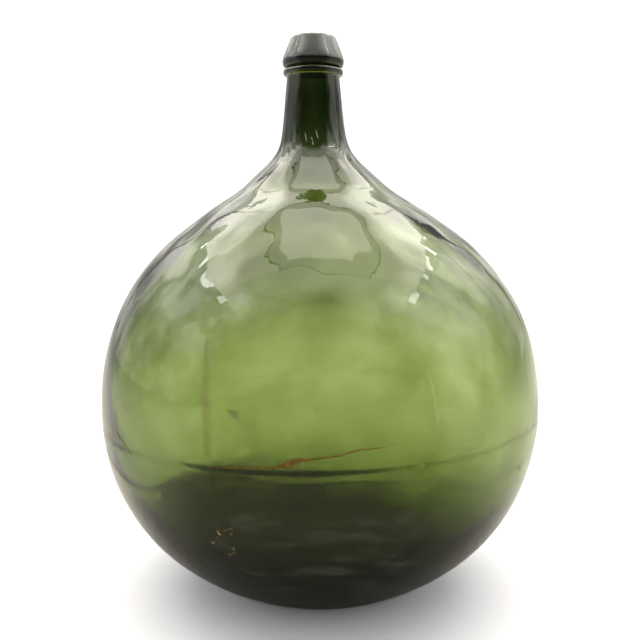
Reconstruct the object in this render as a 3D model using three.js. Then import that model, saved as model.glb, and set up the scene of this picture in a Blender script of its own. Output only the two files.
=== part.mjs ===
// A large glass carboy (demijohn): one blown vessel with a thick pushed-up base, a round body and a
// tapered neck, and two bands of glass laid round the top of the neck: a sloping lip collar and a
// string ring under it. Millimetres, +Z up, with the origin at the middle of the standing ring.
import * as THREE from "three";

// Driving dimensions of the outside.
const BELLY_RADIUS = 246; // the widest circle
const BELLY_HEIGHT = 214; // how high that circle is
const STANDING_RADIUS = 86; // outer edge of the ring that the vessel stands on
const STANDING_WIDTH = 18;
const PUSH_UP = 12; // rise of the middle of the base over the standing ring
const HEEL_ANGLE = THREE.MathUtils.degToRad(20.8); // rise of the wall where it leaves the ring
const SHOULDER_RADIUS = 77.5; // where the shoulder stops bulging out and starts to flare in
const SHOULDER_HEIGHT = 459;
const SHOULDER_ANGLE = THREE.MathUtils.degToRad(41.8);
const NECK_FOOT_RADIUS = 31; // the straight taper of the neck starts here
const NECK_FOOT_HEIGHT = 557;
const NECK_TAPER = 0.1; // radius lost for each millimetre of height
const MOUTH_HEIGHT = 620;
const NECK_LEAN = 7.5; // how far the hand-finished neck stands off the axis, towards -X
const LEAN_START_HEIGHT = 321; // below this the body is true to the axis

// Lengths of the handles at the lower and upper end of each long curve: they set its fullness.
const HEEL_FULLNESS = [101, 107];
const BODY_FULLNESS = [166, 57];
const FLARE_FULLNESS = [58, 66];

// The glass itself.
const BASE_WALL = 24; // where the heel meets the standing ring
const BELLY_WALL = 4.2;
const SHOULDER_WALL = 5.6;
const NECK_WALL = 13.5; // at the foot of the neck
const FLOOR_WALL = 16; // at the middle of the base
const BORE_RADIUS = 16; // the mouth
const RIM_RADIUS = 21; // outer edge of the vessel's own rim, inside the collar

// The laid-on bands.
const BAND_GAP = 0.3; // between pieces of glass that touch
const RING_BOTTOM = 577;
const RING_HEIGHT = 8.8;
const RING_RADIUS = 33.2;
const COLLAR_RADIUS = 34; // its lower edge
const COLLAR_EDGE_HEIGHT = 593.5; // height of that lower edge
const COLLAR_TOP_RADIUS = 25.5;
const COLLAR_FULLNESS = 3.5; // length of the handles that round its lower edge
const GROOVE_RADIUS = 29.4; // bottom of the groove between collar and ring
const LIP_DROP = 3.5; // how far below the mouth the collar's top edge is rounded
const LIP_FULLNESS = 2.2;

const SEGMENTS = 64; // round the axis, in fours so that the box is the same all round

// Steps along each curve of the profiles.
const HEEL_STEPS = { outside: 8, inside: 7 };
const BODY_STEPS = { outside: 9, inside: 7 };
const FLARE_STEPS = { outside: 6, inside: 5 };
const BASE_STEPS = 3;
const BAND_STEPS = 3;
const RING_STEPS = 6;

const GLASS_GREEN = 0x6f8040;
const DARK_GREEN = 0x2c3a1c;

const neckRadius = (z) => NECK_FOOT_RADIUS - NECK_TAPER * (z - NECK_FOOT_HEIGHT);

// The core is the vessel's own neck where the bands cover it: it narrows from the neck under the
// string ring to the rim.
const coreRadius = (z) => {
  const start = neckRadius(RING_BOTTOM);
  const share = (z - RING_BOTTOM) / (MOUTH_HEIGHT - RING_BOTTOM);
  return start + (RIM_RADIUS - start) * share;
};

const UP = Math.PI / 2;
const OUT = 0;
const IN = Math.PI;

const point = (radius, height) => new THREE.Vector2(radius, height);

// A point moved by a distance along a direction given as an angle above the outward radius.
const moved = (from, distance, angle) =>
  point(from.x + distance * Math.cos(angle), from.y + distance * Math.sin(angle));

// A cubic curve from its ends, its directions there and the lengths of its two handles.
const cubic = (start, startAngle, end, endAngle, [startHandle, endHandle]) =>
  new THREE.CubicBezierCurve(
    start,
    moved(start, startHandle, startAngle),
    moved(end, -endHandle, endAngle),
    end,
  );

const after = (curve, steps) => curve.getPoints(steps).slice(1);

// The three long curves of the outside, from the standing ring up.
const ringOuter = point(STANDING_RADIUS, 0);
const belly = point(BELLY_RADIUS, BELLY_HEIGHT);
const shoulder = point(SHOULDER_RADIUS, SHOULDER_HEIGHT);
const neckFoot = point(NECK_FOOT_RADIUS, NECK_FOOT_HEIGHT);
const shoulderAngle = IN - SHOULDER_ANGLE;
const neckAngle = UP + Math.atan(NECK_TAPER);
const heelSide = cubic(ringOuter, HEEL_ANGLE, belly, UP, HEEL_FULLNESS);
const bodySide = cubic(belly, UP, shoulder, shoulderAngle, BODY_FULLNESS);
const neckFlare = cubic(shoulder, shoulderAngle, neckFoot, neckAngle, FLARE_FULLNESS);

// How thick the glass is along each of them. The heel thins out quickly, as blown glass does.
const heelWall = (share) => BELLY_WALL + (BASE_WALL - BELLY_WALL) * (1 - share) ** 2;
const bodyWall = (share) => THREE.MathUtils.lerp(BELLY_WALL, SHOULDER_WALL, share);
const neckWall = (share) => THREE.MathUtils.lerp(SHOULDER_WALL, NECK_WALL, share);

// The inner face behind an outer curve, from its top down.
function innerFace(curve, wall, steps) {
  const face = [];
  for (let i = steps; i >= 0; i -= 1) {
    const share = i / steps;
    const tangent = curve.getTangent(share);
    const inward = point(-tangent.y, tangent.x).multiplyScalar(wall(share));
    face.push(curve.getPoint(share).add(inward));
  }
  return face;
}

// The outside, from the middle of the base up to the rim.
function outsideProfile() {
  const middle = point(0, PUSH_UP);
  const ringInner = point(STANDING_RADIUS - STANDING_WIDTH, 0);
  const fullness = [ringInner.x / 2, PUSH_UP];
  return [
    middle,
    ...after(cubic(middle, OUT, ringInner, -HEEL_ANGLE, fullness), BASE_STEPS),
    ringOuter,
    ...after(heelSide, HEEL_STEPS.outside),
    ...after(bodySide, BODY_STEPS.outside),
    ...after(neckFlare, FLARE_STEPS.outside),
    point(neckRadius(RING_BOTTOM), RING_BOTTOM),
    point(RIM_RADIUS, MOUTH_HEIGHT),
  ];
}

// The inside, from the mouth down to the middle of the floor.
function insideProfile() {
  const heel = innerFace(heelSide, heelWall, HEEL_STEPS.inside);
  const floorEdge = heel[heel.length - 1];
  const floorMiddle = point(0, PUSH_UP + FLOOR_WALL);
  const fullness = [floorEdge.x / 3, floorEdge.x / 3];
  return [
    point(BORE_RADIUS, MOUTH_HEIGHT),
    ...innerFace(neckFlare, neckWall, FLARE_STEPS.inside),
    ...innerFace(bodySide, bodyWall, BODY_STEPS.inside).slice(1),
    ...heel.slice(1),
    ...after(cubic(floorEdge, IN + HEEL_ANGLE / 2, floorMiddle, IN, fullness), BASE_STEPS),
  ];
}

// A half-round thread of glass on the core.
function ringProfile() {
  const half = RING_HEIGHT / 2;
  const middleHeight = RING_BOTTOM + half;
  const inner = (z) => point(coreRadius(z) + BAND_GAP, z);
  const bottom = inner(RING_BOTTOM);
  const top = inner(RING_BOTTOM + RING_HEIGHT);
  const faceRadius = RING_RADIUS - half;
  const face = new THREE.EllipseCurve(faceRadius, middleHeight, half, half, -UP, UP);
  return [bottom, ...face.getPoints(RING_STEPS), top, bottom.clone()];
}

// The sloping collar: an undercut from the groove over the string ring out to the lower edge, a
// straight slope up from there, and a rounded top edge.
function collarProfile() {
  const bottomHeight = RING_BOTTOM + RING_HEIGHT + BAND_GAP;
  const innerBottom = point(coreRadius(bottomHeight) + BAND_GAP, bottomHeight);
  const innerTop = point(RIM_RADIUS + BAND_GAP, MOUTH_HEIGHT);
  const groove = point(GROOVE_RADIUS, bottomHeight);
  const edge = point(COLLAR_RADIUS, COLLAR_EDGE_HEIGHT);
  const lip = point(COLLAR_TOP_RADIUS, MOUTH_HEIGHT - LIP_DROP);
  const slope = Math.atan2(lip.y - edge.y, lip.x - edge.x);
  const edgeFullness = [COLLAR_FULLNESS, COLLAR_FULLNESS];
  const lipFullness = [LIP_FULLNESS, LIP_FULLNESS];
  return [
    innerBottom,
    groove,
    ...after(cubic(groove, OUT, edge, UP, edgeFullness), BAND_STEPS),
    ...after(cubic(edge, UP, lip, slope, edgeFullness), BAND_STEPS),
    ...after(cubic(lip, slope, innerTop, IN, lipFullness), BAND_STEPS),
    innerBottom.clone(),
  ];
}

// The neck's lean grows smoothly from the top of the body to the neck and is then constant.
function leanAt(z) {
  return -NECK_LEAN * THREE.MathUtils.smoothstep(z, LEAN_START_HEIGHT, NECK_FOOT_HEIGHT);
}

function turned(name, profile, colour) {
  const geometry = new THREE.LatheGeometry(profile, SEGMENTS);
  geometry.rotateX(UP);
  const position = geometry.getAttribute("position");
  for (let i = 0; i < position.count; i += 1) {
    position.setX(i, position.getX(i) + leanAt(position.getZ(i)));
  }
  geometry.computeVertexNormals();
  const material = new THREE.MeshStandardMaterial({ color: colour, roughness: 0.06, metalness: 0 });
  const mesh = new THREE.Mesh(geometry, material);
  mesh.name = name;
  return mesh;
}

const carboy = new THREE.Group();
carboy.add(turned("vessel", [...outsideProfile(), ...insideProfile()], GLASS_GREEN));
carboy.add(turned("lip_collar", collarProfile(), DARK_GREEN));
carboy.add(turned("string_ring", ringProfile(), DARK_GREEN));

export default carboy;
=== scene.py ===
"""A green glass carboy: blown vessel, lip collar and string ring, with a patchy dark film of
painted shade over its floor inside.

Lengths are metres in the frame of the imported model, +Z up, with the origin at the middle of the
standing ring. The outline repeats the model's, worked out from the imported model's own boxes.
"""

import math

import bpy
import numpy as np
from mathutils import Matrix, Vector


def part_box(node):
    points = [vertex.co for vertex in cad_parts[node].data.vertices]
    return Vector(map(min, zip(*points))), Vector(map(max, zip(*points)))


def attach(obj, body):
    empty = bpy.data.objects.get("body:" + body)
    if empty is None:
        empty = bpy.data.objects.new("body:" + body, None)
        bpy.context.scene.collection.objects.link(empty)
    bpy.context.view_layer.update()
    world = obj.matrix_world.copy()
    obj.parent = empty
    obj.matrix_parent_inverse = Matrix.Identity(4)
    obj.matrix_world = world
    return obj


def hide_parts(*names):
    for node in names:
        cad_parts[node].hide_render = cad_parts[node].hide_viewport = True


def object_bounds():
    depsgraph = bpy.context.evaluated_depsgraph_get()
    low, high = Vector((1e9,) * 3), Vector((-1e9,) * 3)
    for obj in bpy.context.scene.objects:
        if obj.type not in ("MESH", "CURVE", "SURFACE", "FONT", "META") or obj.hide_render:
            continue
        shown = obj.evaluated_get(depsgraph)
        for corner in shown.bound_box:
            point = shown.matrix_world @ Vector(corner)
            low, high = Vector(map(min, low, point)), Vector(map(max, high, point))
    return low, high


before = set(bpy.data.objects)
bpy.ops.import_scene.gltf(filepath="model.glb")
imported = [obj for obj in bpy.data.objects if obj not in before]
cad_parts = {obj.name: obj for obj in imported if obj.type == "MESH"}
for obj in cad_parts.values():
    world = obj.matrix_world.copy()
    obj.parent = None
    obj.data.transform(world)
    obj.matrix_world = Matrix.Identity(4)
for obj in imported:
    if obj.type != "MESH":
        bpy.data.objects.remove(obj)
cad_low, cad_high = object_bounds()

MM = 0.001
BELLY = (cad_high.x - cad_low.x) / 2
MOUTH = cad_high.z
collar_low, collar_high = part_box("lip_collar")
ring_low, ring_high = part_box("string_ring")
NECK_X = (collar_low.x + collar_high.x) / 2
COLLAR_RADIUS = (collar_high.x - collar_low.x) / 2
RING_RADIUS = (ring_high.x - ring_low.x) / 2

# The camera stands a little above the belly, close in, and looks slightly down.
CAMERA_DISTANCE = 3.712 * BELLY
CAMERA_HEIGHT = 1.717 * BELLY
CAMERA_PITCH = math.radians(7.28)
LENS = 45
SENSOR_WIDTH = 36

# Directions along an outline: up, and in towards the axis.
UP = math.pi / 2
IN = math.pi

# The outline, mostly as shares of the belly's radius. Each fullness gives the lengths of a long
# curve's handles at its lower and upper end.
BELLY_HEIGHT = 0.870 * BELLY
STANDING_RADIUS = 0.350 * BELLY
STANDING_WIDTH = 18 * MM
PUSH_UP = 12 * MM
HEEL_ANGLE = math.radians(20.8)
SHOULDER = (0.315 * BELLY, 1.866 * BELLY)
SHOULDER_ANGLE = math.radians(41.8)
NECK_FOOT = (0.126 * BELLY, 2.264 * BELLY)
NECK_TAPER = 0.1
HEEL_FULLNESS = (0.411 * BELLY, 0.435 * BELLY)
BODY_FULLNESS = (0.675 * BELLY, 0.232 * BELLY)
FLARE_FULLNESS = (0.236 * BELLY, 0.268 * BELLY)
LEAN_START = 1.5 * BELLY_HEIGHT  # below this the body is true to the axis

# Steps along the curves of the outline, and round the axis. The heel has wide steps and then, from
# FINE_FROM of the way up, where the mould seam crosses it, fine ones.
HEEL_STEPS = 26
FINE_FROM = 0.8
FINE_STEPS = 36
HEEL_INSIDE_STEPS = 46
BODY_STEPS = 66
FLARE_STEPS = 34
BASE_STEPS = 12
FLOOR_STEPS = 14
CORE_STEPS = 4
TAPER_STEPS = 6
BORE_STEPS = 12
ROUNDING_STEPS = 3
RING_STEPS = 20
COLLAR_STEPS = {"under": 12, "side": 24, "top": 10, "inner": 12}
BAND_END_STEPS = 3
AROUND = 264

# How thick the glass is at each place, and the bore.
BASE_WALL = 24 * MM
BELLY_WALL = 4.2 * MM
SHOULDER_WALL = 5.6 * MM
NECK_WALL = 13.5 * MM
FLOOR_WALL = 16 * MM
BORE_RADIUS = 16 * MM
RIM_RADIUS = 21 * MM
RIM_ROUNDING = 1.2 * MM
BAND_GAP = 0.3 * MM

# The bands.
GROOVE_RADIUS = 29.4 * MM
COLLAR_EDGE_HEIGHT = 593.5 * MM
COLLAR_TOP_RADIUS = 25.5 * MM
COLLAR_FULLNESS = 3.5 * MM
LIP_DROP = 3.5 * MM
LIP_FULLNESS = 2.2 * MM

# What the glass absorbs: its colour, and how much for each metre in the vessel and in the darker
# bands. The collar lets a little less through, because of the dust on it.
GLASS_GREEN = (0.39, 0.474, 0.055)
GLASS_DENSITY = 330
BAND_DENSITY = 650
BAND_CLEAR = 0.94

# How the walls vary. Angles run round the axis from the front towards +X. Each pair of heights is
# where something starts to fade in or out and where that ends.
FREE_FROM = (4 * MM, 50 * MM)
SHOULDER_SPAN = (310 * MM, 420 * MM)
LEAST_PITCH = 20  # longer waves than this many radians in a metre are no higher
# Each uneven side of the wall: its middle, its spread and how much thicker it is.
UNEVEN_SIDES = (
    (math.radians(-78), math.radians(15), 2.1 * MM),
    (math.radians(85), math.radians(60), -0.7 * MM),
)
UNEVEN_FROM = (50 * MM, 160 * MM)
UNEVEN_TO = (420 * MM, 500 * MM)
# Low rings round the shoulder: height, half width and rise.
SHOULDER_RINGS = ((1.755 * BELLY, 0.05 * BELLY, 0.9 * MM), (1.93 * BELLY, 0.035 * BELLY, 0.3 * MM))
# The mould seam: its height on the axis, its climb towards +X, its rise, how far round the front it
# stands out most, where it starts to wander at the sides, its width above and below, and how far it
# wanders.
SEAM_HEIGHT = 0.822 * BELLY
SEAM_TILT = 0.023
SEAM_RISE = 0.4 * MM
SEAM_FRONT = math.radians(16)
SEAM_TRUE = (math.radians(20), math.radians(40))
SEAM_WIDTH = 1.6 * MM
LEDGE_WIDTH = 9 * MM
SEAM_WANDER = 1.5 * MM
# Wrinkles under the seam: middle angle, reach to each side, height there, bend up to the ends, rise.
WRINKLES = (
    (math.radians(-49), math.radians(19), 0.660 * BELLY, 0.085 * BELLY, 0.6 * MM),
    (math.radians(44), math.radians(20), 0.700 * BELLY, 0.060 * BELLY, 0.3 * MM),
    (math.radians(-4), math.radians(30), 0.781 * BELLY, 0.008 * BELLY, 0.15 * MM),
    (math.radians(-152), math.radians(25), 0.700 * BELLY, 0.050 * BELLY, 0.4 * MM),
)

# The patches of stains and scuffs: how far they stand off the glass, how thick they are at their
# edges and in the middle, their steps between two points of a path, and how ragged they are.
SMEAR_GAP = 0.12 * MM
SMEAR_EDGE = 0.04 * MM
SMEAR_THICK = 0.22 * MM
SMEAR_STEPS = 14
SMEAR_RAGGED = 0.35
STAIN_SHINE = 0.15
STAIN_THIN = 0.35  # how much of a stain's cover is left where it is thin
STAIN_RELIEF = 0.1 * MM

# The glass's material: how it bends light, its fine relief, how clean glass and glass with dust
# differ, and the painted shade under the collar's edge.
GLASS_IOR = 1.52
GLASS_RELIEF = 0.3 * MM
CLEAN_TINT = (0.93, 0.95, 0.9)
CLEAN_ROUGHNESS = (0.0, 0.03)
# Painted shade: the collar's glass is painted this dark under its edge, in the undercut.
PAINTED_SHADE_TINT = (0.03, 0.035, 0.02)
DUSTY_ROUGHNESS = (0.1, 0.22)
SHADE_TO_DUST_UNDER = 1 * MM
SHADE_TO_DUST_OVER = 3 * MM

# The dark film inside, painted shade over the floor and the low heel: two colours, how well they
# cover, how their upper edge runs and where they fade.
SHADE_FILM_DARK = (0.05, 0.052, 0.03)
SHADE_FILM_PALE = (0.16, 0.15, 0.1)
SHADE_FILM_COVER = 0.82
SHADE_FILM_RELIEF = 0.3 * MM
SHADE_FILM_UNEVEN = 0.12 * BELLY
SHADE_FILM_TILT = 0.16
SHADE_FILM_TOP = 0.40 * BELLY
SHADE_FILM_FADE = (0.22 * BELLY, 0.40 * BELLY)
SHADE_FILM_GAP = 0.4 * MM
SHADE_FILM_THICK = 0.6 * MM

# Stains and scuffs on the outside: a dark and a pale colour, and how well each covers the glass.
STAINS = {
    "residue": ((0.05, 0.022, 0.004), (0.14, 0.065, 0.012), 0.9),
    "specks": ((0.22, 0.12, 0.03), (0.45, 0.3, 0.12), 0.9),
    "drip": ((0.07, 0.06, 0.02), (0.13, 0.10, 0.035), 0.26),
    "scuff": ((0.35, 0.4, 0.3), (0.5, 0.55, 0.42), 0.13),
    "neck_scuff": ((0.5, 0.52, 0.48), (0.8, 0.8, 0.76), 0.28),
    "side_crack": ((0.015, 0.02, 0.01), (0.04, 0.05, 0.02), 0.85),
    "bruise": ((0.05, 0.07, 0.02), (0.1, 0.12, 0.05), 0.4),
}
# The marks that are drawn one by one: name, stain and path. Each point of a path is the degrees
# round from the front, and the height and half width in millimetres.
MARKS = (
    ("residue_line", "residue",
     ((-24, 203.5, 0.3), (-19, 204.5, 0.7), (-13, 206.5, 0.6), (-8, 208.5, 1.0))),
    ("residue_blob", "residue",
     ((-8.6, 209, 0.8), (-6.5, 211, 3.4), (-4.6, 214.5, 2.6), (-3.6, 216, 0.8))),
    ("residue_tail", "residue",
     ((-4.2, 214.5, 1.2), (0, 217, 0.8), (4, 219.5, 0.8), (8, 224, 0.6), (13.5, 225, 0.35))),
    ("drip", "drip",
     ((-26.5, 315, 1.2), (-25.4, 285, 3.5), (-24.6, 255, 4.5), (-24, 212, 2.5))),
    ("bruise_1", "bruise", ((-19.6, 255.5, 0.5), (-18, 253, 3.0), (-16.3, 245, 0.8))),
    ("bruise_2", "drip", ((-2.4, 268, 0.4), (-0.6, 257.5, 0.9), (1.4, 266, 0.4))),
    ("scratch_1", "scuff",
     ((23.5, 289, 0.3), (24.6, 275, 0.5), (24.9, 260, 0.5), (25.6, 234, 0.3))),
    ("scratch_2", "scuff", ((51, 260, 0.3), (46.5, 252, 0.6), (41, 240, 0.3))),
)
# Short straight marks of one kind: where each starts, how far round and down it runs, its half
# widths at both ends, and the first seed.
SHORT_MARKS = (
    ("neck_scuff",
     ((-60, 498), (-38, 500), (-15, 513), (-4, 509), (4, 516), (17, 498), (41, 492), (63, 501)),
     (3, 9), (0.2, 0.35), 20),
    ("side_crack", ((-55.5, 214), (-52.8, 209), (-50.5, 203), (54, 178)),
     (2.2, 7), (0.3, 0.6), 30),
)
# Specks at random, in degrees round and in millimetres.
SPECKS = 10
SPECK_SEED = 41
SPECK_DEGREES = (-29, -20)
SPECK_HEIGHTS = (108, 148)
SPECK_SIZES = (0.7, 1.4)

# The dull bloom low on the front.
HAZE_DARK = (0.28, 0.29, 0.21)
HAZE_PALE = (0.45, 0.46, 0.36)
HAZE_COVER = (0.003, 0.025)
HAZE_SHINE = 0.1
HAZE_RELIEF = 0.05 * MM
HAZE_REACH = 31  # degrees to each side
HAZE_HEIGHTS = (0.12 * BELLY, 0.70 * BELLY)
HAZE_STEPS = (44, 24)  # round and up
# Where it fades in, from none to full.
HAZE_SIDES = (0.50 * BELLY, 0.28 * BELLY)
HAZE_TOP = (0.70 * BELLY, 0.62 * BELLY)
HAZE_FOOT = (0.14 * BELLY, 0.24 * BELLY)
HAZE_GAP = 0.06 * MM

# The studio. First the floor: its matt colour, and the colours that the glass mirrors near the front
# and far from it. Between them it counts how far back a place is, and a share of how far aside.
WHITE = (1, 1, 1)
FLOOR_RADIUS = 120 * BELLY
FLOOR_SIDES = 96
FLOOR_ALBEDO = 0.91
# The mirrored colours are painted shade, dimmest near the front.
FLOOR_MIRRORED = (-0.8 * BELLY, 1.4 * BELLY)
FLOOR_MIRRORED_NEAR = (0.165, 0.16, 0.125)
FLOOR_MIRRORED_FAR = (0.51, 0.50, 0.435)
FLOOR_SIDEWAYS = 0.7
# The backdrop as the camera sees it, the light on matt surfaces, and the walls that the glass
# mirrors.
BACKDROP = 1.2
FILL = 1.3
WALL_COLOUR = (1.0, 0.985, 0.89)
FRONT_WALL = 0.15
SIDE_WALLS = 2.3
BACK_WALL = 0.85
# Where the walls' brightness changes, by how far back or up a direction points, from -1 to 1.
SIDE_WALLS_SPAN = (-0.62, -0.2)
BACK_WALL_SPAN = (0.2, 0.75)
WALL_RISE = (0.22, 0.55, 0.33)  # from, to, share of the brightness below
STRAIGHT_UP = (0.8, 0.88, 1.0, 0.1)  # from, to, share before, share after
MOTTLE = (0.35, 0.65, 0.6, 1.5)  # noise from, to, share before, share after
MOTTLE_SCALE = 5
MOTTLE_DETAIL = 6
EDGE_SLANT = 0.64  # sideways for each metre back
EDGE_WIDTH = 0.018
EDGE_SHARE = 0.25
# The ceiling. Boxes are left, right, front and back.
OVERHEAD = 2.35
CEILING_COLOUR = (1.0, 0.94, 0.85)
CEILING_SHARES = (0.95, 1.45, 1.25)  # how bright its front, back and sides are
CEILING_HEIGHT = 11 * BELLY
CEILING_BOX = (-8.1 * BELLY, 7.7 * BELLY, -3.0 * BELLY, 8 * BELLY)
SKYLIGHT = (-3.2 * BELLY, 3.3 * BELLY, -1.9 * BELLY, 3.9 * BELLY)
SKYLIGHT_PANE = (-2.5 * BELLY, 2.6 * BELLY, -0.6 * BELLY, 3.1 * BELLY)
SKYLIGHT_EDGE = 0.85
PANE_SHARE = 1.75
FRAME_LINE = 0.09 * BELLY
STRIP = 0.6 * BELLY
STRIP_SHARES = (0.88, 0.72, 0.52, 0.34, 0.16)
LAMPS = 4
LAMP_FRONT = -2.6 * BELLY
LAMP_STEP = 3.5 * BELLY
LAMP_HALF = 0.6 * BELLY
LAMP_OFFSET = 0.5 * BELLY
LAMP_STRENGTH = 6.5


# ---------------------------------------------------------------- camera, floor and light

def aim_camera():
    data = bpy.data.cameras.new("camera")
    data.lens = LENS
    data.sensor_width = SENSOR_WIDTH
    data.dof.use_dof = False
    camera = bpy.data.objects.new("camera", data)
    camera.location = (0, -CAMERA_DISTANCE, CAMERA_HEIGHT)
    camera.rotation_euler = (UP - CAMERA_PITCH, 0, 0)
    bpy.context.scene.collection.objects.link(camera)
    bpy.context.scene.camera = camera


def math_node(nodes, links, operation, *values, clamp=False):
    """A Math node whose inputs are other nodes' outputs or plain numbers."""
    node = nodes.new("ShaderNodeMath")
    node.operation = operation
    node.use_clamp = clamp
    for socket, value in zip(node.inputs, values):
        if isinstance(value, (int, float)):
            socket.default_value = value
        else:
            links.new(value, socket)
    return node.outputs[0]


def mirror_ray(nodes, links):
    """1 for a ray that a polished surface reflected, 0 for one that went through glass."""
    path = nodes.new("ShaderNodeLightPath").outputs
    return math_node(
        nodes, links, "SUBTRACT", path["Is Glossy Ray"], path["Is Transmission Ray"], clamp=True
    )


def ramp(nodes, links, value, low, high, first, last):
    """A smooth step from first to last while the value runs from low to high."""
    node = nodes.new("ShaderNodeMapRange")
    node.interpolation_type = "SMOOTHSTEP"
    for socket, number in zip(("From Min", "From Max", "To Min", "To Max"),
                              (low, high, first, last)):
        node.inputs[socket].default_value = number
    links.new(value, node.inputs["Value"])
    return node.outputs["Result"]


def add_floor():
    """A pale, matt floor, wide enough to have no visible edge. Mirror reflections see it dimmer, as
    painted shade.
    """
    mesh = bpy.data.meshes.new("floor")
    turns = [2 * math.pi * i / FLOOR_SIDES for i in range(FLOOR_SIDES)]
    rim = [(FLOOR_RADIUS * math.cos(a), FLOOR_RADIUS * math.sin(a), 0) for a in turns]
    mesh.from_pydata(rim, [], [list(range(FLOOR_SIDES))])
    floor = bpy.data.objects.new("floor", mesh)
    bpy.context.scene.collection.objects.link(floor)
    material = bpy.data.materials.new("floor")
    material.use_nodes = True
    nodes, links = material.node_tree.nodes, material.node_tree.links
    shader = nodes["Principled BSDF"]
    shader.inputs["Roughness"].default_value = 1
    shader.inputs["Specular IOR Level"].default_value = 0
    # Dimmer in mirror reflections, most of all on the viewer's side of the object: painted shade in
    # what the glass mirrors.
    axes = object_axes(nodes, links)
    sideways = math_node(nodes, links, "ABSOLUTE", axes["X"])
    sideways = math_node(nodes, links, "MULTIPLY", sideways, FLOOR_SIDEWAYS)
    away = math_node(nodes, links, "ADD", sideways, axes["Y"])
    distant = ramp(nodes, links, away, *FLOOR_MIRRORED, 0, 1)
    mirrored = blend(nodes, links, distant, FLOOR_MIRRORED_NEAR, FLOOR_MIRRORED_FAR)
    pale = (FLOOR_ALBEDO, FLOOR_ALBEDO, FLOOR_ALBEDO)
    colour = blend(nodes, links, mirror_ray(nodes, links), pale, mirrored)
    links.new(colour, shader.inputs["Base Color"])
    mesh.materials.append(material)


def add_panel(name, box, strength, colour=CEILING_COLOUR):
    """A flat light overhead that faces straight down. box is left, right, front and back."""
    left, right, front, back = box
    data = bpy.data.lights.new(name, "AREA")
    data.shape = "RECTANGLE"
    data.size, data.size_y = right - left, back - front
    data.energy = strength * data.size * data.size_y * math.pi
    data.color = colour
    light = bpy.data.objects.new(name, data)
    light.location = ((left + right) / 2, (front + back) / 2, CEILING_HEIGHT)
    bpy.context.scene.collection.objects.link(light)


def add_frame(name, outer, inner, strength, shares=(1, 1, 1)):
    """The part of a panel between an outer and an inner box, as four panels. shares gives how
    bright the front, the back and the sides are."""
    left, right, front, back = outer
    in_left, in_right, in_front, in_back = inner
    add_panel(f"{name}_front", (left, right, front, in_front), strength * shares[0])
    add_panel(f"{name}_back", (left, right, in_back, back), strength * shares[1])
    add_panel(f"{name}_left", (left, in_left, in_front, in_back), strength * shares[2])
    add_panel(f"{name}_right", (in_right, right, in_front, in_back), strength * shares[2])


def add_ceiling():
    """A lit ceiling round a skylight in a dark frame, fading towards the viewer, and lamps."""
    left, right, front, back = CEILING_BOX
    add_frame("ceiling", CEILING_BOX, grown(SKYLIGHT, FRAME_LINE), OVERHEAD, CEILING_SHARES)
    add_frame("skylight_edge", SKYLIGHT, SKYLIGHT_PANE, OVERHEAD * SKYLIGHT_EDGE)
    add_panel("skylight_pane", SKYLIGHT_PANE, OVERHEAD * PANE_SHARE)
    for i, share in enumerate(STRIP_SHARES):
        add_panel(f"ceiling_strip_{i + 1}", (left, right, front - STRIP, front), share * OVERHEAD)
        front -= STRIP
    for side, x in (("left", left - LAMP_OFFSET), ("right", right + LAMP_OFFSET)):
        for i in range(LAMPS):
            y = LAMP_FRONT + i * LAMP_STEP
            box = (x - LAMP_HALF, x + LAMP_HALF, y - LAMP_HALF, y + LAMP_HALF)
            add_panel(f"lamp_{side}_{i + 1}", box, LAMP_STRENGTH, WHITE)


def grown(box, by):
    """A box with every side moved out."""
    left, right, front, back = box
    return (left - by, right + by, front - by, back + by)


def wall_strength(nodes, links):
    """How bright the room's walls are in each direction, as the glass mirrors them."""
    where = nodes.new("ShaderNodeTexCoord").outputs["Generated"]
    split = nodes.new("ShaderNodeSeparateXYZ")
    links.new(where, split.inputs[0])
    deep, high = split.outputs["Y"], split.outputs["Z"]
    sides = ramp(nodes, links, deep, *SIDE_WALLS_SPAN, FRONT_WALL, SIDE_WALLS)
    rising = ramp(nodes, links, high, *WALL_RISE, 1)
    lit = math_node(nodes, links, "MULTIPLY", sides, rising)
    back = ramp(nodes, links, deep, *BACK_WALL_SPAN, 0, BACK_WALL)
    # The backdrop's two upright edges are thin dark lines.
    slant = math_node(nodes, links, "DIVIDE", split.outputs["X"], deep)
    slant = math_node(nodes, links, "ABSOLUTE", slant)
    on_edge = math_node(nodes, links, "COMPARE", slant, EDGE_SLANT, EDGE_WIDTH)
    behind = math_node(nodes, links, "GREATER_THAN", deep, 0.0)
    on_edge = math_node(nodes, links, "MULTIPLY", on_edge, behind)
    kept = ramp(nodes, links, on_edge, 0, 1, 1, EDGE_SHARE)
    whole = math_node(nodes, links, "MAXIMUM", lit, back)
    # The walls are mottled, and the gaps in the ceiling are dark.
    mottle = nodes.new("ShaderNodeTexNoise")
    mottle.inputs["Scale"].default_value = MOTTLE_SCALE
    mottle.inputs["Detail"].default_value = MOTTLE_DETAIL
    links.new(where, mottle.inputs["Vector"])
    mottled = ramp(nodes, links, mottle.outputs["Fac"], *MOTTLE)
    whole = math_node(nodes, links, "MULTIPLY", whole, mottled)
    gaps = ramp(nodes, links, high, *STRAIGHT_UP)
    whole = math_node(nodes, links, "MULTIPLY", whole, gaps)
    return math_node(nodes, links, "MULTIPLY", whole, kept)


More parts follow.
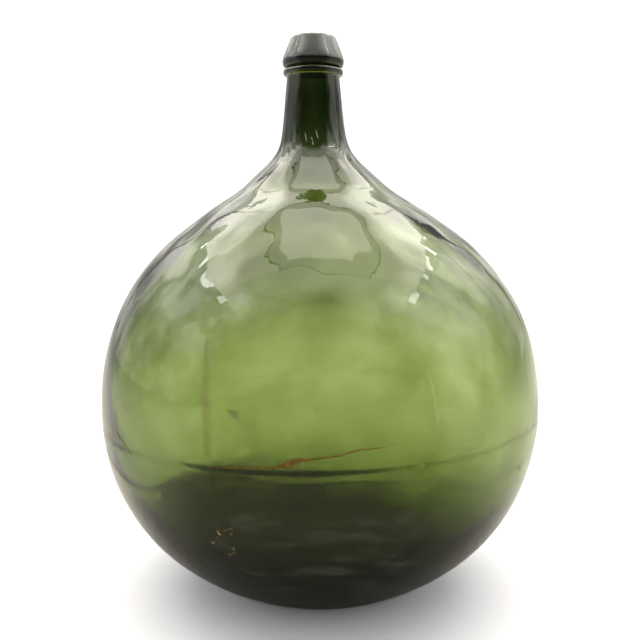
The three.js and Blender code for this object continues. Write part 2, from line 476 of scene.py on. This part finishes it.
def light_scene():
    """A white studio. What the glass mirrors is bright to both sides and above, and dim in front."""
    world = bpy.data.worlds.new("world")
    world.use_nodes = True
    bpy.context.scene.world = world
    nodes, links = world.node_tree.nodes, world.node_tree.links
    output = nodes["World Output"]
    path = nodes.new("ShaderNodeLightPath")

    def background(strength, colour=WHITE):
        node = nodes.new("ShaderNodeBackground")
        node.inputs["Color"].default_value = (*colour, 1)
        node.inputs["Strength"].default_value = strength
        return node

    def choose(which, no, yes):
        node = nodes.new("ShaderNodeMixShader")
        links.new(which, node.inputs["Fac"])
        links.new(no.outputs[0], node.inputs[1])
        links.new(yes.outputs[0], node.inputs[2])
        return node

    room = background(1, WALL_COLOUR)
    links.new(wall_strength(nodes, links), room.inputs["Strength"])
    seen = choose(path.outputs["Is Diffuse Ray"], background(BACKDROP), background(FILL))
    shown = choose(mirror_ray(nodes, links), seen, room)
    links.new(shown.outputs[0], output.inputs["Surface"])
    add_ceiling()


# ---------------------------------------------------------------- outlines

def moved(start, distance, angle):
    return (start[0] + distance * math.cos(angle), start[1] + distance * math.sin(angle))


def cubic(start, start_angle, end, end_angle, handles):
    """A cubic curve from its ends, its directions there and the lengths of its two handles."""
    return np.array([start, moved(start, handles[0], start_angle),
                     moved(end, -handles[1], end_angle), end])


def even(steps):
    return np.linspace(0, 1, steps + 1)


def mix(first, last, share):
    return first + (last - first) * share


def fade(value, low, high):
    """A smooth step from 0 to 1 while the value runs from low to high."""
    share = np.clip((value - low) / (high - low), 0, 1)
    return share * share * (3 - 2 * share)


def along(curve, shares):
    """Points along a cubic curve, and its directions there as unit vectors."""
    t = shares[:, None]
    a, b, c, d = curve
    points = a * (1 - t) ** 3 + 3 * b * t * (1 - t) ** 2 + 3 * c * t**2 * (1 - t) + d * t**3
    slope = (b - a) * (1 - t) ** 2 + 2 * (c - b) * t * (1 - t) + (d - c) * t**2
    return points, slope / np.linalg.norm(slope, axis=1)[:, None]


RING_EDGE = (STANDING_RADIUS, 0.0)
BELLY_POINT = (BELLY, BELLY_HEIGHT)
NECK_ANGLE = UP + math.atan(NECK_TAPER)
HEEL_SIDE = cubic(RING_EDGE, HEEL_ANGLE, BELLY_POINT, UP, HEEL_FULLNESS)
BODY_SIDE = cubic(BELLY_POINT, UP, SHOULDER, IN - SHOULDER_ANGLE, BODY_FULLNESS)
NECK_FLARE = cubic(SHOULDER, IN - SHOULDER_ANGLE, NECK_FOOT, NECK_ANGLE, FLARE_FULLNESS)
RING_FOOT = (NECK_FOOT[0] - NECK_TAPER * (ring_low.z - NECK_FOOT[1]), ring_low.z)
HEEL_SHARES = np.concatenate([
    FINE_FROM * even(HEEL_STEPS)[1:],
    FINE_FROM + (1 - FINE_FROM) * even(FINE_STEPS)[1:],
])


def core_radius(height):
    """The vessel's own neck where the bands cover it, which narrows up to the rim."""
    share = (height - RING_FOOT[1]) / (MOUTH - RING_FOOT[1])
    return mix(RING_FOOT[0], RIM_RADIUS, share)


def straight(start, end, steps):
    t = even(steps)[1:, None]
    return np.array(start) * (1 - t) + np.array(end) * t


def arc(centre, radius, start, end, steps):
    angles = np.linspace(start, end, steps + 1)
    return np.stack(
        [centre[0] + radius * np.cos(angles), centre[1] + radius * np.sin(angles)], axis=1
    )


def free_outline():
    """The wall that was blown free, from the standing ring up to the foot of the neck."""
    return np.vstack([
        along(HEEL_SIDE, HEEL_SHARES)[0],
        along(BODY_SIDE, even(BODY_STEPS)[1:])[0],
        along(NECK_FLARE, even(FLARE_STEPS)[1:])[0],
    ])


def outside_outline():
    """From the middle of the base up to the rim."""
    middle = (0.0, PUSH_UP)
    inner = (STANDING_RADIUS - STANDING_WIDTH, 0.0)
    push_up = cubic(middle, 0, inner, -HEEL_ANGLE, (inner[0] / 2, PUSH_UP))
    corner = (RIM_RADIUS - RIM_ROUNDING, MOUTH - RIM_ROUNDING)
    return np.vstack([
        along(push_up, even(BASE_STEPS))[0],
        straight(inner, RING_EDGE, 2),
        free_outline(),
        straight(NECK_FOOT, RING_FOOT, TAPER_STEPS),
        straight(RING_FOOT, (RIM_RADIUS, MOUTH - RIM_ROUNDING), CORE_STEPS),
        arc(corner, RIM_ROUNDING, 0, UP, ROUNDING_STEPS)[1:],
    ])


def inside_outline():
    """From the mouth down to the middle of the floor."""
    def face(curve, shares, wall):
        points, direction = along(curve, shares)
        inward = np.stack([-direction[:, 1], direction[:, 0]], axis=1)
        return (points + inward * wall[:, None])[::-1]

    flare_shares, body_shares = even(FLARE_STEPS), even(BODY_STEPS)
    heel_shares = even(HEEL_INSIDE_STEPS)
    flare = face(NECK_FLARE, flare_shares, mix(SHOULDER_WALL, NECK_WALL, flare_shares))
    body = face(BODY_SIDE, body_shares, mix(BELLY_WALL, SHOULDER_WALL, body_shares))
    heel = face(HEEL_SIDE, heel_shares, mix(BELLY_WALL, BASE_WALL, (1 - heel_shares) ** 2))
    third = heel[-1][0] / 3
    floor = cubic(heel[-1], IN + HEEL_ANGLE / 2, (0.0, PUSH_UP + FLOOR_WALL), IN, (third, third))
    corner = (BORE_RADIUS + RIM_ROUNDING, MOUTH - RIM_ROUNDING)
    lip = arc(corner, RIM_ROUNDING, UP, IN, ROUNDING_STEPS)
    return np.vstack([
        lip,
        straight(lip[-1], flare[0], BORE_STEPS),
        flare[1:],
        body[1:],
        heel[1:],
        along(floor, even(FLOOR_STEPS)[1:])[0],
    ])


def ring_outline():
    """A half-round thread of glass on the core of the neck."""
    half = (ring_high.z - ring_low.z) / 2
    middle = ring_low.z + half
    bottom = (core_radius(ring_low.z) + BAND_GAP, ring_low.z)
    top = (core_radius(ring_high.z) + BAND_GAP, ring_high.z)
    face = arc((RING_RADIUS - half, middle), half, -UP, UP, RING_STEPS)
    upper = straight(face[-1], top, BAND_END_STEPS)
    return np.vstack([bottom, face, upper, straight(top, bottom, 2 * BAND_END_STEPS)[:-1]])


def collar_outline():
    """An undercut from the groove, a rounded lower edge, a straight slope and a rounded lip."""
    bottom = collar_low.z
    inner_bottom = (core_radius(bottom) + BAND_GAP, bottom)
    inner_top = (RIM_RADIUS + BAND_GAP, MOUTH)
    groove = (GROOVE_RADIUS, bottom)
    edge = (COLLAR_RADIUS, COLLAR_EDGE_HEIGHT)
    lip = (COLLAR_TOP_RADIUS, MOUTH - LIP_DROP)
    slope = math.atan2(lip[1] - edge[1], lip[0] - edge[0])
    under = cubic(groove, 0, edge, UP, (COLLAR_FULLNESS, COLLAR_FULLNESS))
    side = cubic(edge, UP, lip, slope, (COLLAR_FULLNESS, COLLAR_FULLNESS))
    top = cubic(lip, slope, inner_top, IN, (LIP_FULLNESS, LIP_FULLNESS))
    return np.vstack([
        inner_bottom,
        straight(inner_bottom, groove, BAND_END_STEPS),
        along(under, even(COLLAR_STEPS["under"])[1:])[0],
        along(side, even(COLLAR_STEPS["side"])[1:])[0],
        along(top, even(COLLAR_STEPS["top"])[1:])[0],
        straight(inner_top, inner_bottom, COLLAR_STEPS["inner"])[:-1],
    ])


# ---------------------------------------------------------------- meshes

def lean_at(z):
    """How far the hand-finished neck stands off the axis at each height."""
    return NECK_X * fade(z, LEAN_START, NECK_FOOT[1])


def turn(outline, closed, swell=None):
    """Turns an outline round the axis. swell gives how far each point moves along its normal."""
    angle = np.linspace(0, 2 * math.pi, AROUND, endpoint=False)
    on_axis = outline[:, 0] < 1e-7
    direction = np.gradient(outline, axis=0)
    direction /= np.linalg.norm(direction, axis=1)[:, None] + 1e-12
    normal = np.stack([direction[:, 1], -direction[:, 0]], axis=1)
    radius = np.repeat(outline[:, :1], AROUND, axis=1)
    height = np.repeat(outline[:, 1:], AROUND, axis=1)
    if swell is not None:
        move = swell(radius, height, np.broadcast_to(angle, radius.shape))
        radius = radius + move * normal[:, :1]
        height = height + move * normal[:, 1:]
    x = radius * np.sin(angle) + lean_at(height)
    y = -radius * np.cos(angle)
    vertices, rows = [], []
    for i in range(len(outline)):
        if on_axis[i]:
            rows.append([len(vertices)] * AROUND)
            vertices.append((float(x[i].mean()), 0.0, float(height[i].mean())))
        else:
            rows.append(list(range(len(vertices), len(vertices) + AROUND)))
            vertices.extend(zip(x[i].tolist(), y[i].tolist(), height[i].tolist()))
    faces = []
    pairs = list(zip(rows[:-1], rows[1:]))
    if closed:
        pairs.append((rows[-1], rows[0]))
    for low, high in pairs:
        for j in range(AROUND):
            k = (j + 1) % AROUND
            face = list(dict.fromkeys((low[j], low[k], high[k], high[j])))
            if len(face) > 2:
                faces.append(face)
    return vertices, faces


def make_piece(name, vertices, faces, material):
    mesh = bpy.data.meshes.new(name)
    mesh.from_pydata(vertices, [], faces)
    mesh.validate()
    mesh.materials.append(material)
    mesh.shade_smooth()
    piece = bpy.data.objects.new(name, mesh)
    bpy.context.scene.collection.objects.link(piece)
    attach(piece, "root")
    return piece


# ---------------------------------------------------------------- materials

def texture(nodes, links, stretch, scale, detail=4.0, distortion=0.0, seed=0.0):
    """Cloudy noise in the piece's own frame, stretched along each axis."""
    where = nodes.new("ShaderNodeTexCoord")
    mapping = nodes.new("ShaderNodeMapping")
    mapping.inputs["Scale"].default_value = stretch
    mapping.inputs["Location"].default_value = (seed, seed, seed)
    links.new(where.outputs["Object"], mapping.inputs["Vector"])
    noise = nodes.new("ShaderNodeTexNoise")
    noise.inputs["Scale"].default_value = scale
    noise.inputs["Detail"].default_value = detail
    noise.inputs["Distortion"].default_value = distortion
    links.new(mapping.outputs["Vector"], noise.inputs["Vector"])
    return noise.outputs["Fac"]


def blend(nodes, links, share, first, second):
    """A colour between two, each a plain colour or another node's output."""
    node = nodes.new("ShaderNodeMix")
    node.data_type = "RGBA"
    links.new(share, node.inputs["Factor"])
    for socket, colour in (("A", first), ("B", second)):
        if isinstance(colour, tuple):
            node.inputs[socket].default_value = (*colour, 1)
        else:
            links.new(colour, node.inputs[socket])
    return node.outputs["Result"]


def new_material(name):
    material = bpy.data.materials.new(name)
    material.use_nodes = True
    nodes, links = material.node_tree.nodes, material.node_tree.links
    return material, nodes, links, nodes["Principled BSDF"]


def object_axes(nodes, links):
    """Where a point is along each axis of the piece's own frame."""
    where = nodes.new("ShaderNodeTexCoord")
    split = nodes.new("ShaderNodeSeparateXYZ")
    links.new(where.outputs["Object"], split.inputs[0])
    return split.outputs


def add_bump(nodes, links, shader, height, distance):
    bump = nodes.new("ShaderNodeBump")
    bump.inputs["Distance"].default_value = distance
    bump.inputs["Strength"].default_value = 1
    links.new(height, bump.inputs["Height"])
    links.new(bump.outputs["Normal"], shader.inputs["Normal"])


def glass_relief(nodes, links, streaks):
    """Upright streaks, finer ones like hairs, and a faint pebbling."""
    fine = texture(nodes, links, (1, 1, 1), 60, detail=2, seed=9)
    hairs = texture(nodes, links, (1, 1, 0.06), 150, detail=2, seed=5)
    relief = streaks
    for layer, share in ((fine, 0.3), (hairs, 0.08)):
        layer = math_node(nodes, links, "MULTIPLY", layer, share)
        relief = math_node(nodes, links, "ADD", relief, layer)
    return relief


def glass_material(name, density, clear=1.0, dust_above_painted_shade_below=None):
    """Old blown glass. Its colour comes from the thickness of glass that the light passes
    through. It has faint upright streaks, fine ripples and patches dulled by wear. Where it has
    dust over a height, it is paler and duller there, and under it the glass is painted dark as
    painted shade."""
    material, nodes, links, shader = new_material(name)
    streaks = texture(nodes, links, (1, 1, 0.2), 38, detail=3)
    worn = texture(nodes, links, (1, 1, 0.5), 9, detail=8, distortion=1.2, seed=4)
    if dust_above_painted_shade_below is None:
        tint = ramp(nodes, links, streaks, 0.35, 0.65, 0, 1)
        low_tint_and_painted_shade = CLEAN_TINT
        dulled = CLEAN_ROUGHNESS
    else:
        # Above the height the collar has dust and is paler; under it the glass is painted dark, as
        # painted shade in the undercut.
        height = object_axes(nodes, links)["Z"]
        above = ramp(nodes, links, height, dust_above_painted_shade_below - SHADE_TO_DUST_UNDER, dust_above_painted_shade_below + SHADE_TO_DUST_OVER, 0, 1)
        uneven = ramp(nodes, links, streaks, 0.3, 0.7, 0.75, 1)
        tint = math_node(nodes, links, "MULTIPLY", above, uneven)
        low_tint_and_painted_shade = PAINTED_SHADE_TINT
        dulled = DUSTY_ROUGHNESS
    links.new(blend(nodes, links, tint, low_tint_and_painted_shade, WHITE), shader.inputs["Base Color"])
    links.new(ramp(nodes, links, worn, 0.55, 0.8, *dulled), shader.inputs["Roughness"])
    add_bump(nodes, links, shader, glass_relief(nodes, links, streaks), GLASS_RELIEF)
    shader.inputs["IOR"].default_value = GLASS_IOR
    shader.inputs["Transmission Weight"].default_value = clear
    absorb = nodes.new("ShaderNodeVolumeAbsorption")
    absorb.inputs["Color"].default_value = (*GLASS_GREEN, 1)
    absorb.inputs["Density"].default_value = density
    links.new(absorb.outputs[0], nodes["Material Output"].inputs["Volume"])
    return material


def painted_shade_film_material():
    """A dull grey-olive film of painted shade that thins out in patches and towards its upper edge.
    """
    material, nodes, links, shader = new_material("painted_shade")
    patches = texture(nodes, links, (1, 1, 2.5), 11, detail=9, distortion=0.8, seed=2)
    grain = texture(nodes, links, (1, 1, 1), 160, detail=4, seed=6)
    share = ramp(nodes, links, patches, 0.3, 0.7, 0, 1)
    # The film's two grey-olive colours are painted shade, in patches.
    links.new(blend(nodes, links, share, SHADE_FILM_DARK, SHADE_FILM_PALE), shader.inputs["Base Color"])
    links.new(ramp(nodes, links, grain, 0.3, 0.7, 0.7, 0.95), shader.inputs["Roughness"])
    add_bump(nodes, links, shader, grain, SHADE_FILM_RELIEF)
    axes = object_axes(nodes, links)
    uneven = math_node(nodes, links, "MULTIPLY", patches, SHADE_FILM_UNEVEN)
    tilt = math_node(nodes, links, "MULTIPLY", axes["X"], SHADE_FILM_TILT)
    level = math_node(nodes, links, "ADD", axes["Z"], tilt)
    level = math_node(nodes, links, "ADD", level, uneven)
    thinning = ramp(nodes, links, level, *SHADE_FILM_FADE, SHADE_FILM_COVER, 0.0)
    cover = ramp(nodes, links, patches, 0.35, 0.75, 1.0, 0.78)
    links.new(math_node(nodes, links, "MULTIPLY", thinning, cover), shader.inputs["Alpha"])
    return material


def stain_material(name, dark, pale, cover):
    """A dried stain or a scuff on the outside of the glass, patchy and matt."""
    material, nodes, links, shader = new_material(name)
    patches = texture(nodes, links, (1, 1, 1), 260, detail=6, distortion=0.5, seed=3)
    share = ramp(nodes, links, patches, 0.35, 0.65, 0, 1)
    links.new(blend(nodes, links, share, dark, pale), shader.inputs["Base Color"])
    links.new(ramp(nodes, links, patches, 0.3, 0.7, 0.6, 0.9), shader.inputs["Roughness"])
    shader.inputs["Specular IOR Level"].default_value = STAIN_SHINE
    thin = STAIN_THIN * cover
    links.new(ramp(nodes, links, patches, 0.3, 0.6, thin, cover), shader.inputs["Alpha"])
    add_bump(nodes, links, shader, patches, STAIN_RELIEF)
    return material


def haze_material():
    """A faint grey bloom in level wisps. It fades out towards the edges of its patch."""
    material, nodes, links, shader = new_material("haze")
    wisps = texture(nodes, links, (1, 1, 2.0), 17, detail=8, distortion=2.0, seed=7)
    grain = texture(nodes, links, (1, 1, 1), 140, detail=5, seed=8)
    share = ramp(nodes, links, grain, 0.3, 0.7, 0, 1)
    links.new(blend(nodes, links, share, HAZE_DARK, HAZE_PALE), shader.inputs["Base Color"])
    links.new(ramp(nodes, links, grain, 0.3, 0.7, 0.75, 0.95), shader.inputs["Roughness"])
    shader.inputs["Specular IOR Level"].default_value = HAZE_SHINE
    add_bump(nodes, links, shader, grain, HAZE_RELIEF)
    axes = object_axes(nodes, links)
    aside = math_node(nodes, links, "ABSOLUTE", axes["X"])
    cover = ramp(nodes, links, wisps, 0.5, 0.72, *HAZE_COVER)
    for value, edge in ((aside, HAZE_SIDES), (axes["Z"], HAZE_TOP), (axes["Z"], HAZE_FOOT)):
        cover = math_node(nodes, links, "MULTIPLY", cover, ramp(nodes, links, value, *edge, 0, 1))
    links.new(cover, shader.inputs["Alpha"])
    return material


# ---------------------------------------------------------------- the carboy

def ripples(seed, count, steepness, most_around, shortest):
    """Smooth random waves, which shrink with the radius. steepness is their greatest slope,
    most_around the most of them round the axis, and shortest the least length upwards."""
    rng = np.random.default_rng(seed)
    waves = []
    for _ in range(count):
        around = int(rng.integers(0, most_around + 1))
        up = rng.uniform(-1, 1) * 2 * math.pi / shortest
        pitch = math.hypot(around / BELLY, up)
        size = steepness / max(pitch, LEAST_PITCH)
        waves.append((around, up, rng.uniform(0, 2 * math.pi), size))

    def at(radius, height, angle):
        total = np.zeros_like(radius)
        for around, up, phase, size in waves:
            total += size * np.sin(around * angle + up * height + phase)
        return total * np.clip(radius / BELLY, 0, 1)

    return at


def turned_from(angle, middle):
    """The angle from the middle, between minus and plus half a turn."""
    return (angle - middle + math.pi) % (2 * math.pi) - math.pi


def seam_ridge(radius, height, angle):
    """The tilted line where the two halves of the mould met. It runs true in front and wanders
    at the sides, and stands out most in front."""
    side = fade(np.abs(turned_from(angle, 0)), *SEAM_TRUE)
    wander = SEAM_WANDER * side * (np.sin(9 * angle) + 0.6 * np.sin(23 * angle + 1))
    middle = SEAM_HEIGHT + SEAM_TILT * radius * np.sin(angle) + wander
    front = np.exp(-((turned_from(angle, 0) / SEAM_FRONT) ** 2))
    rise = SEAM_RISE * (0.95 + 0.2 * front + 0.2 * np.sin(7 * angle + 2))
    return rise * ledge(height - middle)


def ledge(above):
    """A ridge that falls away sharply above its line and gently below it."""
    width = np.where(above > 0, SEAM_WIDTH, LEDGE_WIDTH)
    return np.exp(-((above / width) ** 2))


def wrinkles(height, angle):
    """Sagging wrinkles in the glass under the seam."""
    total = np.zeros_like(height)
    for middle, reach, level, bend, rise in WRINKLES:
        off = turned_from(angle, middle) / reach
        line = level + bend * off**2 + SEAM_WANDER * np.sin(17 * angle)
        total += rise * np.exp(-(off**4)) * ledge(height - line)
    return total


def shoulder_rings(height):
    """Where the shoulder was worked into the neck it has low rings round it."""
    rings = 0
    for middle, width, rise in SHOULDER_RINGS:
        rings = rings + rise * np.exp(-(((height - middle) / width) ** 2))
    return rings


def uneven_sides(height, angle):
    """Blown glass runs unevenly: one side of the body is thicker and the other thinner."""
    span = fade(height, *UNEVEN_FROM) * (1 - fade(height, *UNEVEN_TO))
    extra = np.zeros_like(height)
    for middle, spread, wall in UNEVEN_SIDES:
        extra += wall * np.exp(-((turned_from(angle, middle) / spread) ** 2))
    return extra * span


outer_waves = ripples(seed=11, count=22, steepness=0.004, most_around=12, shortest=90 * MM)
shoulder_waves = ripples(seed=37, count=44, steepness=0.014, most_around=30, shortest=24 * MM)
inner_waves = ripples(seed=23, count=30, steepness=0.005, most_around=26, shortest=35 * MM)


def free_wall(height):
    """1 where the wall was blown free, 0 at the standing ring and under the bands."""
    return fade(height, *FREE_FROM) * (1 - fade(height, NECK_FOOT[1], RING_FOOT[1]))


def outer_swell(radius, height, angle):
    """How far the outside stands out from its outline."""
    wavy = outer_waves(radius, height, angle)
    wavy = wavy + shoulder_waves(radius, height, angle) * fade(height, *SHOULDER_SPAN)
    relief = seam_ridge(radius, height, angle) + wrinkles(height, angle) + shoulder_rings(height)
    return wavy * free_wall(height) + relief


def inner_swell(radius, height, angle):
    """How far the inside stands in from its outline."""
    return inner_waves(radius, height, angle) * free_wall(height) + uneven_sides(height, angle)


def build_vessel():
    outside = outside_outline()
    inside = inside_outline()
    first = len(outside)

    def swell(radius, height, angle):
        move = inner_swell(radius, height, angle)
        move[:first] = outer_swell(radius[:first], height[:first], angle[:first])
        return move

    vertices, faces = turn(np.vstack([outside, inside]), closed=False, swell=swell)
    material = glass_material("vessel_glass", GLASS_DENSITY)
    vessel = make_piece("glass_vessel", vertices, faces, material)
    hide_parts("vessel")


def build_bands():
    # The collar has dust above its edge and painted shade under it, in the undercut.
    collar_dust_and_shade = glass_material("collar_glass", BAND_DENSITY, BAND_CLEAR, COLLAR_EDGE_HEIGHT)
    clean = glass_material("ring_glass", BAND_DENSITY)
    for name, node, outline, material in (
        ("glass_collar", "lip_collar", collar_outline(), collar_dust_and_shade),
        ("glass_ring", "string_ring", ring_outline(), clean),
    ):
        vertices, faces = turn(outline, closed=True)
        band = make_piece(name, vertices, faces, material)
        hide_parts(node)


def build_painted_shade_film():
    """A dark film of painted shade over the floor and the lower part of the heel, inside."""
    inside = inside_outline()
    covered = inside[(inside[:, 1] < SHADE_FILM_TOP) & (inside[:, 0] < BELLY)]
    direction = np.gradient(covered, axis=0)
    direction /= np.linalg.norm(direction, axis=1)[:, None]
    into = np.stack([direction[:, 1], -direction[:, 0]], axis=1)
    into[-1] = (0, 1)
    near = covered + into * SHADE_FILM_GAP
    far = covered + into * (SHADE_FILM_GAP + SHADE_FILM_THICK)
    rows = len(covered)

    def swell(radius, height, angle):
        move = inner_swell(radius, height, angle)
        move[:rows] *= -1
        return move

    # The film is a dark sheet of painted shade inside the glass, low in the vessel.
    vertices, faces = turn(np.vstack([near[::-1], far]), closed=True, swell=swell)
    make_piece("painted_shade_film", vertices, faces, painted_shade_film_material())


def on_glass(angle, height, lift):
    """Points on the outside of the body, lifted off it."""
    wall = free_outline()
    direction = np.gradient(wall, axis=0)
    direction /= np.linalg.norm(direction, axis=1)[:, None]
    radius, across, up = (
        np.interp(height, wall[:, 1], values)
        for values in (wall[:, 0], direction[:, 1], -direction[:, 0])
    )
    move = outer_swell(radius, height, angle) + lift
    radius = radius + move * across
    height = height + move * up
    return np.stack([radius * np.sin(angle) + lean_at(height), -radius * np.cos(angle), height], -1)


def film(name, over, under, material):
    """A thin closed patch between two grids of points, whose rows run up and columns run round."""
    rows, count = over.shape[:2]
    vertices = np.vstack([over.reshape(-1, 3), under.reshape(-1, 3)]).tolist()
    below = rows * count
    faces = []
    for row in range(rows - 1):
        for step in range(count - 1):
            a = row * count + step
            top = (a, a + 1, a + 1 + count, a + count)
            faces.append(top)
            faces.append([corner + below for corner in reversed(top)])
    start = [row * count for row in range(rows)]
    last = [corner + count - 1 for corner in start]
    edge = list(range(count)) + last[1:] + list(range(start[-1], last[-1]))[::-1] + start[1:-1][::-1]
    for a, b in zip(edge, edge[1:] + edge[:1]):
        faces.append((b, a, a + below, b + below))
    make_piece(name, vertices, faces, material)


def smear(name, path, material, seed):
    """A thin closed patch along a path on the outside. Each point of the path is the degrees
    round from the front, and the height and half width in millimetres."""
    rng = np.random.default_rng(seed)
    path = np.array(path, dtype=float) * (1, MM, MM)
    knots = np.arange(len(path))
    count = SMEAR_STEPS * (len(path) - 1) + 1
    share = np.linspace(0, knots[-1], count)
    degrees, level, spread = (np.interp(share, knots, values) for values in path.T)
    girth = np.linalg.norm(on_glass(np.zeros(1), path[:1, 1], 0)[0, :2])
    line = np.stack([np.radians(degrees) * girth, level], axis=1)
    tangent = np.gradient(line, axis=0)
    tangent /= np.linalg.norm(tangent, axis=1)[:, None]
    across = np.stack([-tangent[:, 1], tangent[:, 0]], axis=1)
    rough = SMEAR_RAGGED * rng.uniform(-1, 1, (3, count))
    line = line + across * (spread * rough[0])[:, None]
    half = np.full(count, 0.5)
    shares = (-1 - rough[1], -half, half, 1 + rough[2])
    lanes = np.array([line + across * (spread * lane)[:, None] for lane in shares])
    angle, height = lanes[:, :, 0] / girth, lanes[:, :, 1]
    crown = np.full((len(shares), count), SMEAR_EDGE)
    crown[1:-1, 1:-1] = SMEAR_THICK
    under = on_glass(angle, height, SMEAR_GAP)
    over = on_glass(angle, height, SMEAR_GAP + crown)
    film(name, over, under, material)


def build_haze():
    """A dull bloom on the outside, low on the front."""
    around, upward = HAZE_STEPS
    reach = math.radians(HAZE_REACH)
    angle, height = np.meshgrid(
        np.linspace(-reach, reach, around + 1), np.linspace(*HAZE_HEIGHTS, upward + 1)
    )
    under = on_glass(angle, height, HAZE_GAP)
    over = on_glass(angle, height, HAZE_GAP + SMEAR_EDGE)
    film("haze_film", over, under, haze_material())


def build_marks():
    """Dried drips, rust-brown residue, specks, bruises and scratches on the outside."""
    stains = {name: stain_material(name, *looks) for name, looks in STAINS.items()}
    for i, (name, stain, path) in enumerate(MARKS):
        smear(name, path, stains[stain], seed=1 + i)
    for kind, starts, (across, down), (thin, wide), seed in SHORT_MARKS:
        for i, (degrees, level) in enumerate(starts):
            path = ((degrees, level, thin), (degrees + across, level - down, wide))
            smear(f"{kind}_{i + 1}", path, stains[kind], seed + i)
    rng = np.random.default_rng(SPECK_SEED)
    for i in range(SPECKS):
        degrees = rng.uniform(*SPECK_DEGREES)
        level = rng.uniform(*SPECK_HEIGHTS)
        size = rng.uniform(*SPECK_SIZES)
        path = ((degrees, level, size / 2), (degrees + 0.3, level - 1.5 * size, size))
        smear(f"speck_{i + 1}", path, stains["specks"], 60 + i)


aim_camera()
add_floor()
light_scene()
build_vessel()
build_bands()
build_painted_shade_film()
build_haze()
build_marks()

scene = bpy.context.scene
scene.view_settings.view_transform = "Standard"
scene.cycles.max_bounces = 24
scene.cycles.transmission_bounces = 24
scene.cycles.glossy_bounces = 12
scene.cycles.caustics_refractive = False
scene.cycles.caustics_reflective = False
scene.cycles.use_denoising = True
scene.cycles.denoising_input_passes = "RGB"
